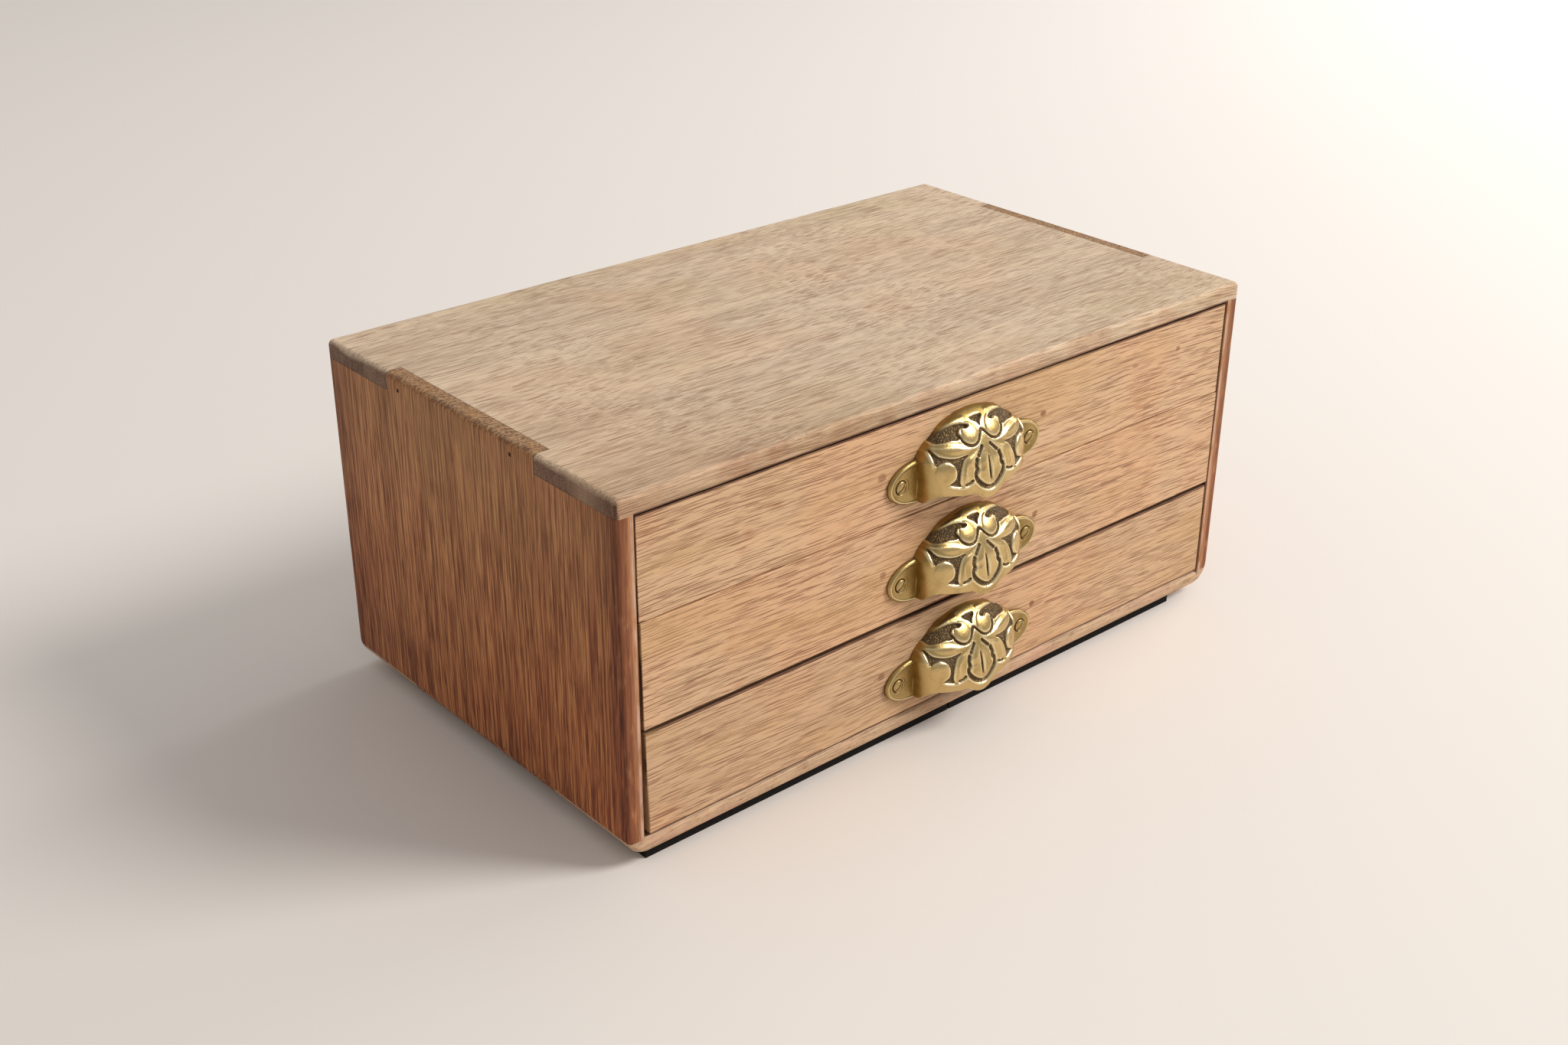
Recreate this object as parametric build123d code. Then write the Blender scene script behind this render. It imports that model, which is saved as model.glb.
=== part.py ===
from build123d import *
import os
from typing import NamedTuple

# A small chest for watercolour paints: a hardwood case with three drawers, one above another.
# The case's top and bottom are finger-jointed to its sides, and a thin back sits in a rebate.
# Each drawer is half-blind dovetailed at its front and housed at its back, and hangs on two
# strips of hardwood that run in grooves along its sides. Cast cup pulls are screwed to the fronts.
#
# Millimetres. +X runs to the right along the drawer fronts, -Y faces the user and +Z is up.
# The pieces are modelled about the middle of the case, and are moved when they are written, so
# that the origin is on the table under the middle of the whole chest with its pulls.

LEFT, RIGHT = -1, 1

# ---- case ----
case_width = 360.0
case_depth = 208.0
side_thickness = 7.5
top_thickness = 8.0
bottom_thickness = 7.0
back_thickness = 5.0
front_tab_length = 52.0  # of the top and bottom boards' tabs, which run through the sides
back_tab_length = 49.0
back_rebate = 4.0  # how far the back panel laps the boards round it
panel_play = 0.2  # round a thin panel in its rebate or groove
bottom_corner_radius = 10.0  # along the case's two lower long corners
top_corner_radius = 2.5
edge_radius = 2.0  # round the case's front and back
rail_nose_radius = 3.0  # along the bottom board's front, under the lowest drawer
foot_height = 5.0
foot_left_inset = bottom_corner_radius  # from the case's left side to the felt
foot_right_inset = 26.0
foot_front_inset = rail_nose_radius
foot_back_inset = 16.0
foot_joint = 1.0  # between the four sheets of felt

# ---- drawers ----
top_drawer_height = 44.4
middle_drawer_height = 47.1
bottom_drawer_height = 46.9
gap_below_drawers = 0.5
right_gap = 0.7
front_thickness = 12.0
front_edge_radius = 0.5
drawer_side_thickness = 10.0  # where it is thinnest
drawer_back_thickness = 8.0
drawer_bottom_thickness = 3.0
side_drop = 4.0  # of the drawer side's top edge, below the front's
side_rise = 1.5  # of its lower edge, above the front's
bottom_rise = 4.0  # of the drawer bottom, above the side's lower edge
bottom_groove_depth = 4.0
back_housing_depth = 3.0
rear_clearance = 4.0  # behind a closed drawer
tail_count = 2
tail_depth = 8.0
tail_slope = 1 / 6
pin_width = 5.0  # between two tails, where the pin is narrowest

# ---- runners ----
runner_height = 7.0
runner_reach = 5.5  # out of the case's side
runner_housing_depth = 2.0  # into the case's side
runner_end_radius = 3.0
runner_stop_gap = 0.3  # from a closed drawer's front to the runner's end
runner_top_play = 0.1
runner_bottom_play = 0.5
runner_groove_depth = 5.0

# ---- brads and screws ----
brad_width = 1.6
brad_sink = 0.3
corner_brad_length = 18.0
corner_brad_drop = 5.5  # below the top of the case
corner_brad_front_inset = 16.0  # from the front end of the side's tab
corner_brad_back_inset = 9.0
back_brad_length = 12.0
back_brad_end_margin = 30.0
bottom_brad_length = 13.0
bottom_brad_margin = 40.0
runner_brad_length = 11.0
runner_brad_inset = 25.0

# ---- cup pulls ----
pull_screw_spacing = 76.2
pull_drop = 6.6  # of the screws, below the middle of the front
crown_half_width = 36.5  # of the round crown at the wood, which the cup's arched outline cuts short
crown_drop = 6.0  # of the crown's middle, below the screws
cup_depth = 17.0
cup_height = 25.0  # of the arch, above the screws
cup_shoulder_width = 60.0  # where the arch springs from the sides
cup_shoulder_rise = 5.0  # of the shoulders, above the screws
cup_mouth_width = 56.6
cup_mouth_drop = 9.4  # of the lip's ends on the wood, below the screws
cup_wall = 1.8
lip_brow_inset = 4.0  # of the lip's high points, from the ends of the mouth
lip_brow_rise = 4.8  # of the same, above the ends of the lip
lip_lobe_half_width = 9.0
lip_lobe_drop = 1.2  # of the middle lobe, below the ends of the lip
lip_cusp_rise = 2.8  # of the lobe's two cusps, above the ends of the lip
lug_root = 29.0  # from the pull's middle to where the lug is widest
lug_reach = 15.9  # from there to its tip
lug_height = 19.4
lug_thickness = 1.8
pull_screw_diameter = 2.8
pull_screw_clearance = 0.2
pull_screw_sides = 8  # the thread isn't drawn: a shank is a bar with as many sides
pull_screw_head = 5.6
pull_screw_head_height = 1.2
pull_screw_length = 10.0
screw_slot_width = 0.8
screw_slot_depth = 0.7
screw_slot_turn = 40.0


class Drawer(NamedTuple):
    """What differs from drawer to drawer: the chest is old, and its drawers have worn and shrunk."""

    name: str
    height: float
    gap_above: float
    left_gap_top: float  # from the case to the front's left edge, at its top
    left_gap_bottom: float
    recess: float  # of the front, behind the case's front edges
    pull_shift: float  # of the pull, to the right of the case's middle
    pull_tilt: float  # in degrees, with its right end higher


drawers = [
    Drawer("top", top_drawer_height, gap_above=1.2, left_gap_top=0.8, left_gap_bottom=1.2,
           recess=0.6, pull_shift=-0.3, pull_tilt=0.6),
    Drawer("middle", middle_drawer_height, gap_above=0.3, left_gap_top=1.3, left_gap_bottom=1.8,
           recess=0.2, pull_shift=1.0, pull_tilt=0.0),
    Drawer("bottom", bottom_drawer_height, gap_above=1.6, left_gap_top=2.2, left_gap_bottom=3.4,
           recess=0.6, pull_shift=1.9, pull_tilt=1.5),
]

# ---- what follows from them ----
opening_height = sum(drawer.height + drawer.gap_above for drawer in drawers) + gap_below_drawers
case_base = foot_height
opening_low = case_base + bottom_thickness
opening_high = opening_low + opening_height
case_top = opening_high + top_thickness
inside_half = case_width / 2 - side_thickness
front_edge = -case_depth / 2
back_edge = case_depth / 2
back_inner_face = back_edge - back_thickness
drawer_end = back_inner_face - rear_clearance

whole_width = (-case_width / 2, case_width / 2)
inside_width = (-inside_half, inside_half)
whole_depth = (front_edge, back_edge)
front_band = (front_edge, front_edge + front_tab_length)
back_band = (back_edge - back_tab_length, back_edge)
middle_band = (front_band[1], back_band[0])

pull_reach = max(cup_depth - drawer.recess for drawer in drawers)
frame_shift = pull_reach / 2


def span_box(x, y, z):
    """A box given by the low and high ends of its three spans."""
    spans = (x, y, z)
    sizes = [high - low for low, high in spans]
    middles = [(high + low) / 2 for low, high in spans]
    return Pos(*middles) * Box(*sizes)


def across(side, inner, outer):
    """The span of X between two distances from the middle, on the left or the right."""
    return tuple(sorted((side * inner, side * outer)))


def along_y(sketch, y):
    """A solid with the sketch, drawn in X and Z, as its section over a span of Y."""
    return Pos(0, y[1], 0) * extrude(Plane.XZ * sketch, y[1] - y[0])


def along_x(sketch, x):
    """A solid with the sketch, drawn in Y and Z, as its section over a span of X."""
    return Pos(x[0], 0, 0) * extrude(Plane.YZ * sketch, x[1] - x[0])


# ---- fasteners: each is made pointing along +Z, with its head's outer face at the origin ----


def brad(length):
    """A square cut brad without a head."""
    return Pos(0, 0, length / 2) * Box(brad_width, brad_width, length)


def brad_hole(length):
    """The hole a brad fills, and the dent above its sunk end."""
    whole = length + brad_sink
    return Pos(0, 0, length - whole / 2) * Box(brad_width, brad_width, whole)


def shank(diameter, length):
    """A screw's shank, or the bore for one."""
    return extrude(RegularPolygon(diameter / 2, pull_screw_sides), length)


def pull_screw(turn):
    """A slotted screw with a flat round head, which seats at the origin."""
    head = Pos(0, 0, -pull_screw_head_height / 2) * Cylinder(
        pull_screw_head / 2, pull_screw_head_height)
    slot = Rot(0, 0, turn) * span_box(
        (-pull_screw_head / 2, pull_screw_head / 2), (-screw_slot_width / 2, screw_slot_width / 2),
        (-pull_screw_head_height, screw_slot_depth - pull_screw_head_height))
    return (head - slot) + shank(pull_screw_diameter, pull_screw_length)


# ---- case ----


def case_form():
    """The case's outer shape: well rounded below, slightly above, and eased at front and back."""
    outline = Pos(0, (case_base + case_top) / 2) * Rectangle(case_width, case_top - case_base)
    outline = fillet(outline.vertices().group_by(Axis.Y)[0], bottom_corner_radius)
    outline = fillet(outline.vertices().group_by(Axis.Y)[-1], top_corner_radius)
    block = along_y(outline, whole_depth)
    ends = block.faces().sort_by(Axis.Y)
    return fillet(ends[0].edges() + ends[-1].edges(), edge_radius)


def back_seat(play=0.0):
    """The space of the back panel in its rebate, less any play round its edges."""
    lap = back_rebate - play
    return span_box((-inside_half - lap, inside_half + lap), (back_inner_face, back_edge),
                    (opening_low - lap, opening_high + lap))


def corner_brad_places():
    """Through the middle tab of each side, into the end of the top board."""
    level = case_top - corner_brad_drop
    ys = (middle_band[0] + corner_brad_front_inset, middle_band[1] - corner_brad_back_inset)
    return [Pos(side * (case_width / 2 - brad_sink), y, level) * Rot(0, -90 * side, 0)
            for side in (LEFT, RIGHT) for y in ys]


def back_brad_places():
    """Through the lap of the back panel, into the boards round it."""
    lap_middle = back_rebate / 2
    surface = back_edge - brad_sink
    reach = inside_half - back_brad_end_margin
    level_reach = opening_height / 2 - back_brad_end_margin
    middle_level = (opening_low + opening_high) / 2
    spots = [(x, z) for x in (-reach, 0, reach)
             for z in (opening_low - lap_middle, opening_high + lap_middle)]
    spots += [(side * (inside_half + lap_middle), middle_level + up * level_reach)
              for side in (LEFT, RIGHT) for up in (-1, 1)]
    return [Pos(x, surface, z) * Rot(90, 0, 0) for x, z in spots]


def at_places(shape, places):
    """Copies of a shape, one at each place."""
    return [place * shape for place in places]


def finish_board(board):
    """A case board brought to the case's outer shape, rebated for the back and bored for brads."""
    board = (board & case_form()) - back_seat()
    board -= at_places(brad_hole(corner_brad_length), corner_brad_places())
    return board - at_places(brad_hole(back_brad_length), back_brad_places())


def end_board(levels):
    """The top or the bottom board: its tabs run through the sides at the front and the back."""
    board = span_box(inside_width, middle_band, levels)
    board += span_box(whole_width, front_band, levels)
    return board + span_box(whole_width, back_band, levels)


def top_board():
    return finish_board(end_board((opening_high, case_top)))


def bottom_board():
    """The bottom board, with its front edge nosed where the drawers leave it bare."""
    board = finish_board(end_board((case_base, opening_low)))
    nose_y = (front_edge, front_edge + rail_nose_radius)
    nose_z = (opening_low - rail_nose_radius, opening_low)
    nose_section = Pos(nose_y[1], nose_z[0]) * Circle(rail_nose_radius)
    waste = span_box(inside_width, nose_y, nose_z) - along_x(nose_section, inside_width)
    return board - waste


def case_side(side):
    """A side of the case: its middle tab runs up through the top and down through the bottom."""
    x = across(side, inside_half, case_width / 2)
    board = span_box(x, whole_depth, (opening_low, opening_high))
    board += span_box(x, middle_band, (case_base, case_top))
    board = finish_board(board)
    for drawer in drawers:
        board -= runner_blank(drawer, side)
        board -= at_places(brad_hole(runner_brad_length), runner_brad_places(drawer, side))
    return board


def back_panel():
    return back_seat(panel_play) - at_places(brad_hole(back_brad_length), back_brad_places())


def foot(side, end):
    """A thick sheet of felt under one quarter of the case."""
    side_inset = foot_left_inset if side == LEFT else foot_right_inset
    end_inset = foot_front_inset if end < 0 else foot_back_inset
    length = case_width / 2 - side_inset - foot_joint / 2
    depth = case_depth / 2 - end_inset - foot_joint / 2
    x = side * (foot_joint + length) / 2
    y = end * (foot_joint + depth) / 2
    return Pos(x, y, foot_height / 2) * Box(length, depth, foot_height)


# ---- runners ----


def front_levels(drawer):
    """The lower and upper edges of a drawer's front."""
    above = drawers[:drawers.index(drawer) + 1]
    high = opening_high - sum(each.gap_above + each.height for each in above) + drawer.height
    return high - drawer.height, high


def side_levels(drawer):
    """The lower and upper edges of a drawer's sides."""
    low, high = front_levels(drawer)
    return low + side_rise, high - side_drop


def runner_levels(drawer):
    low, high = side_levels(drawer)
    middle = (low + high) / 2
    return middle - runner_height / 2, middle + runner_height / 2


def front_inner_face(drawer):
    return front_edge + drawer.recess + front_thickness


def runner_blank(drawer, side):
    """A runner before it is bored, as far as the housing it lies in."""
    x = across(side, inside_half - runner_reach, inside_half + runner_housing_depth)
    y = (front_inner_face(drawer) + runner_stop_gap, back_inner_face)
    blank = span_box(x, y, runner_levels(drawer))
    inner_edges = blank.edges().filter_by(Axis.Z).sort_by(Axis.Y)[:2]
    leading_edge = inner_edges.sort_by(Axis.X)[0 if side == RIGHT else -1]
    return fillet(leading_edge, runner_end_radius)


def runner_brad_places(drawer, side):
    low, high = runner_levels(drawer)
    ys = (front_inner_face(drawer) + runner_brad_inset, back_inner_face - runner_brad_inset)
    surface = inside_half - runner_reach + brad_sink
    return [Pos(side * surface, y, (low + high) / 2) * Rot(0, 90 * side, 0) for y in ys]


def runner(drawer, side):
    """A hardwood strip, let into the case's side and bradded there."""
    places = runner_brad_places(drawer, side)
    return runner_blank(drawer, side) - at_places(brad_hole(runner_brad_length), places)


def runner_brads():
    places = []
    for drawer in drawers:
        places += runner_brad_places(drawer, LEFT) + runner_brad_places(drawer, RIGHT)
    return Compound(at_places(brad(runner_brad_length), places))


# ---- drawers ----


def drawer_envelope(drawer, y):
    """The space a drawer fills across the opening: its left side is planed out of square."""
    low, high = front_levels(drawer)
    left_low = drawer.left_gap_bottom - inside_half
    left_high = drawer.left_gap_top - inside_half
    right = inside_half - right_gap
    outline = Polygon((left_low, low), (right, low), (right, high), (left_high, high), align=None)
    return along_y(outline, y)


def side_span(drawer, side):
    """The span of X that a drawer's side lies in, before it is planed to the envelope."""
    gap = right_gap if side == RIGHT else max(drawer.left_gap_top, drawer.left_gap_bottom)
    outer = inside_half - gap
    return across(side, outer - drawer_side_thickness, inside_half)


def drawer_inside(drawer):
    """The span of X between a drawer's sides."""
    return side_span(drawer, LEFT)[1], side_span(drawer, RIGHT)[0]


def widened(span, amount):
    return span[0] - amount, span[1] + amount


def bottom_levels(drawer):
    """The lower and upper faces of a drawer's bottom panel."""
    low = side_levels(drawer)[0] + bottom_rise
    return low, low + drawer_bottom_thickness


def tails(drawer, side):
    """The dovetails on the front end of a drawer's side."""
    low, high = side_levels(drawer)
    pitch = (high - low) / tail_count
    end_half = (pitch - pin_width) / 2
    root_half = end_half - tail_depth * tail_slope
    root_y = front_inner_face(drawer)
    end_y = root_y - tail_depth
    fan = Sketch()
    for number in range(tail_count):
        middle = low + pitch * (number + 0.5)
        fan += Polygon((root_y, middle - root_half), (root_y, middle + root_half),
                       (end_y, middle + end_half), (end_y, middle - end_half), align=None)
    return along_x(fan, side_span(drawer, side)) & drawer_envelope(drawer, (end_y, root_y))


def pull_level(drawer):
    """The level of a pull's two screws."""
    low, high = front_levels(drawer)
    return (low + high) / 2 - pull_drop


def pull_place(drawer):
    """Where a pull's own frame lies: between its screws, on the face of the front."""
    place = Pos(drawer.pull_shift, front_edge + drawer.recess, pull_level(drawer))
    return place * Rot(0, -drawer.pull_tilt, 0)


def pull_screw_places(drawer):
    return [pull_place(drawer) * Pos(side * pull_screw_spacing / 2, -lug_thickness, 0) * Rot(-90, 0, 0)
            for side in (LEFT, RIGHT)]


def drawer_front(drawer):
    """A front, socketed for the sides' tails and grooved for the bottom."""
    face = front_edge + drawer.recess
    inner = front_inner_face(drawer)
    board = drawer_envelope(drawer, (face, inner))
    board = fillet(board.faces().sort_by(Axis.Y)[0].edges(), front_edge_radius)
    for side in (LEFT, RIGHT):
        board -= tails(drawer, side)
    board -= span_box(drawer_inside(drawer), (inner - bottom_groove_depth, inner),
                      bottom_levels(drawer))
    bore = shank(pull_screw_diameter, pull_screw_length)
    return board - at_places(bore, pull_screw_places(drawer))


def back_span():
    """The span of Y that a drawer's back board fills."""
    return drawer_end - drawer_back_thickness, drawer_end


def back_levels(drawer):
    """The lower and upper edges of a drawer's back, which stands on the bottom panel."""
    return bottom_levels(drawer)[1], side_levels(drawer)[1]


def drawer_side(drawer, side):
    """A drawer's side, with its tails, the runner's groove outside and two grooves inside."""
    inner = front_inner_face(drawer)
    length = (inner, drawer_end)
    board = span_box(side_span(drawer, side), length, side_levels(drawer))
    board &= drawer_envelope(drawer, length)
    board += tails(drawer, side)
    thin_gap = right_gap if side == RIGHT else max(drawer.left_gap_top, drawer.left_gap_bottom)
    groove_x = across(side, inside_half - thin_gap - runner_groove_depth, inside_half)
    low, high = runner_levels(drawer)
    board -= span_box(groove_x, length, (low - runner_bottom_play, high + runner_top_play))
    grooved_inside = widened(drawer_inside(drawer), bottom_groove_depth)
    board -= span_box(grooved_inside, length, bottom_levels(drawer))
    housed_inside = widened(drawer_inside(drawer), back_housing_depth)
    return board - span_box(housed_inside, back_span(), back_levels(drawer))


def bottom_brad_places(drawer):
    """Up through the bottom panel, into the back's lower edge."""
    low, high = drawer_inside(drawer)
    y = sum(back_span()) / 2
    level = bottom_levels(drawer)[0] + brad_sink
    xs = (low + bottom_brad_margin, (low + high) / 2, high - bottom_brad_margin)
    return [Pos(x, y, level) for x in xs]


def drawer_back(drawer):
    board = span_box(widened(drawer_inside(drawer), back_housing_depth), back_span(),
                     back_levels(drawer))
    return board - at_places(brad_hole(bottom_brad_length), bottom_brad_places(drawer))


def drawer_bottom(drawer):
    """The bottom panel: its long tongue lies in the front's groove, and its edges in the sides'."""
    inner = front_inner_face(drawer)
    levels = bottom_levels(drawer)
    groove = bottom_groove_depth - panel_play
    panel = span_box(widened(drawer_inside(drawer), groove), (inner, drawer_end), levels)
    panel += span_box(widened(drawer_inside(drawer), -panel_play), (inner - groove, inner), levels)
    return panel - at_places(brad_hole(bottom_brad_length), bottom_brad_places(drawer))


# ---- cup pulls: drawn about the middle of the screws, on the face of the front ----


def cup_outline(inset):
    """The cup's arched outline on the wood, or the hollow's: an ellipse springs from its sides."""
    mouth = cup_mouth_width / 2 - inset
    shoulder = cup_shoulder_width / 2 - inset
    rise = cup_height - inset - cup_shoulder_rise
    low = -cup_mouth_drop - 2 * lip_lobe_drop
    foot = mouth - (shoulder - mouth) * (-cup_mouth_drop - low) / (cup_shoulder_rise + cup_mouth_drop)
    sides = Polygon((-foot, low), (foot, low), (shoulder, cup_shoulder_rise),
                    (-shoulder, cup_shoulder_rise), align=None)
    above = Pos(0, cup_shoulder_rise + rise / 2) * Rectangle(2 * shoulder, rise)
    return sides + (Pos(0, cup_shoulder_rise) * Ellipse(shoulder, rise) & above)


def cup_solid(inset):
    """The cup as a solid crown within its outline, or the hollow that leaves its wall."""
    radius = (crown_half_width**2 + cup_depth**2) / (2 * cup_depth)
    crown = Pos(0, radius - cup_depth, -crown_drop) * Sphere(radius - inset)
    return crown & along_y(cup_outline(inset), (-cup_depth, 0))


def lip_outline():
    """What lies above the lip, which rises beside its ends and hangs in a lobe at its middle."""
    end = cup_mouth_width / 2
    edge = -cup_mouth_drop
    brow = (end - lip_brow_inset, edge + lip_brow_rise)
    bend = (end - 0.3 * lip_brow_inset, edge + 0.7 * lip_brow_rise)
    cusp = (lip_lobe_half_width, edge + lip_cusp_rise)
    half = (Line((0, cup_height), (lug_root, cup_height))
            + Line((lug_root, cup_height), (lug_root, edge))
            + Line((lug_root, edge), (end, edge)) + ThreePointArc((end, edge), bend, brow)
            + Line(brow, cusp))
    lobe = ThreePointArc(cusp, (0, edge - lip_lobe_drop), (-cusp[0], cusp[1]))
    return make_face(half + lobe + mirror(half, Plane.YZ))


def lug(side):
    """A tongue-shaped lug, bored for its screw."""
    start = cup_mouth_width / 2 - cup_wall
    outline = Pos(lug_root, 0) * Ellipse(lug_reach, lug_height / 2)
    outline &= Pos((start + lug_root + lug_reach) / 2, 0) * Rectangle(
        lug_root + lug_reach - start, lug_height)
    plate = along_y(outline, (-lug_thickness, 0))
    bore = shank(pull_screw_diameter + 2 * pull_screw_clearance, lug_thickness)
    plate -= Pos(pull_screw_spacing / 2, 0, 0) * Rot(90, 0, 0) * bore
    return plate if side == RIGHT else mirror(plate, Plane.YZ)


def cup_pull():
    """A cast cup pull: an open-bottomed shell under a round crown, with a lug at each side."""
    shell = cup_solid(0) & along_y(lip_outline(), (-cup_depth, 0))
    shell = shell + lug(LEFT) + lug(RIGHT)
    return shell - cup_solid(cup_wall)


def pull_screws(drawer):
    return Compound(at_places(pull_screw(screw_slot_turn), pull_screw_places(drawer)))


# ---- the whole chest ----


def chest():
    """Every piece by its node's name."""
    nodes = {
        "top_board": top_board(),
        "bottom_board": bottom_board(),
        "left_side": case_side(LEFT),
        "right_side": case_side(RIGHT),
        "back_panel": back_panel(),
        "corner_brads": Compound(at_places(brad(corner_brad_length), corner_brad_places())),
        "back_brads": Compound(at_places(brad(back_brad_length), back_brad_places())),
        "runner_brads": runner_brads(),
    }
    sides = {"left": LEFT, "right": RIGHT}
    for side_name, side in sides.items():
        nodes[f"foot_front_{side_name}"] = foot(side, -1)
        nodes[f"foot_back_{side_name}"] = foot(side, 1)
    pull = cup_pull()
    for drawer in drawers:
        for side_name, side in sides.items():
            nodes[f"runner_{drawer.name}_{side_name}"] = runner(drawer, side)
            nodes[f"drawer_{drawer.name}_{side_name}_side"] = drawer_side(drawer, side)
        brads = at_places(brad(bottom_brad_length), bottom_brad_places(drawer))
        nodes[f"drawer_{drawer.name}_front"] = drawer_front(drawer)
        nodes[f"drawer_{drawer.name}_back"] = drawer_back(drawer)
        nodes[f"drawer_{drawer.name}_bottom"] = drawer_bottom(drawer)
        nodes[f"drawer_{drawer.name}_brads"] = Compound(brads)
        nodes[f"cup_pull_{drawer.name}"] = pull_place(drawer) * pull
        nodes[f"pull_screws_{drawer.name}"] = pull_screws(drawer)
    return nodes


os.makedirs("parts", exist_ok=True)
for node_name, piece in chest().items():
    export_step(Pos(0, frame_shift, 0) * piece, f"parts/{node_name}.step")
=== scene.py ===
import math

import bmesh
import bpy
import numpy as np
from mathutils import Matrix, Vector


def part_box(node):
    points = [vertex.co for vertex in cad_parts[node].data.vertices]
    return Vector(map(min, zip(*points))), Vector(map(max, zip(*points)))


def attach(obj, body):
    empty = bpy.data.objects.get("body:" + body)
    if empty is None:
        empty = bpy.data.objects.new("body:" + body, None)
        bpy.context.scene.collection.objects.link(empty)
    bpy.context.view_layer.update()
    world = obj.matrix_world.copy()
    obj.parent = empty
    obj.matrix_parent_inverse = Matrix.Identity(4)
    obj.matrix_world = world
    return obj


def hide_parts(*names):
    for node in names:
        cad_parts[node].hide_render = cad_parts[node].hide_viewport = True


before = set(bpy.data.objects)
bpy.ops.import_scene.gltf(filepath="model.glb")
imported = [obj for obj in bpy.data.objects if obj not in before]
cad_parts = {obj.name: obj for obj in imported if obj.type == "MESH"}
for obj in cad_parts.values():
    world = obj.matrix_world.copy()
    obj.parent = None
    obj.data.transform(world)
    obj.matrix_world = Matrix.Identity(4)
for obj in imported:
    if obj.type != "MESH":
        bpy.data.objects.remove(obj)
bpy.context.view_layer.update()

bl_info = {
    "name": "Paint chest finishes",
    "version": (1, 0, 0),
    "blender": (4, 5, 0),
    "location": "3D View > Sidebar > Paint Chest",
    "description": "Cast cup pulls, screws, woods and a plain stage for a small chest of drawers",
    "category": "Object",
}

MM = 0.001
DRAWERS = ("top", "middle", "bottom")
PULL_TILTS = {"top": 0.6, "middle": 0.0, "bottom": 1.5}  # degrees, with the right end higher
SCREW_SPACING = 76.2  # mm, between a pull's two screws
MERGE_GAP = 1e-6  # metres; points of a new piece that lie nearer to each other become one


# ---------------------------------------------------------------- shader expressions


def operation(name, swapped=False):
    """A method of Value that adds a Math node for the value and another one, in either order."""
    def method(self, other):
        return self._math(name, *((other, self) if swapped else (self, other)))
    return method


class Value:
    """A shader socket that can be used in Python expressions: each operator adds a Math node, and
    least and most take the smaller and the larger of two values."""

    def __init__(self, shader, socket):
        self.shader = shader
        self.socket = socket

    def _math(self, name, *values):
        return self.shader.node("ShaderNodeMath", {"operation": name},
                                dict(enumerate(values))).out()

    __add__, __radd__ = operation("ADD"), operation("ADD", swapped=True)
    __sub__, __rsub__ = operation("SUBTRACT"), operation("SUBTRACT", swapped=True)
    __mul__, __rmul__ = operation("MULTIPLY"), operation("MULTIPLY", swapped=True)
    __truediv__, __pow__ = operation("DIVIDE"), operation("POWER")
    least, most = operation("MINIMUM"), operation("MAXIMUM")

    def __abs__(self):
        return self._math("ABSOLUTE", self)

    def ramp(self, low, high):
        """0 where the value is at low and 1 where it is at high, with a soft step between."""
        return self.shader.node("ShaderNodeMapRange", {"interpolation_type": "SMOOTHSTEP"},
                                {"Value": self, "From Min": low, "From Max": high}).out("Result")


class Node:
    """A node of a shader, whose outputs are taken by name or number."""

    def __init__(self, shader, node):
        self.shader = shader
        self.node = node

    def out(self, key=0):
        return Value(self.shader, self.node.outputs[key])


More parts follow.
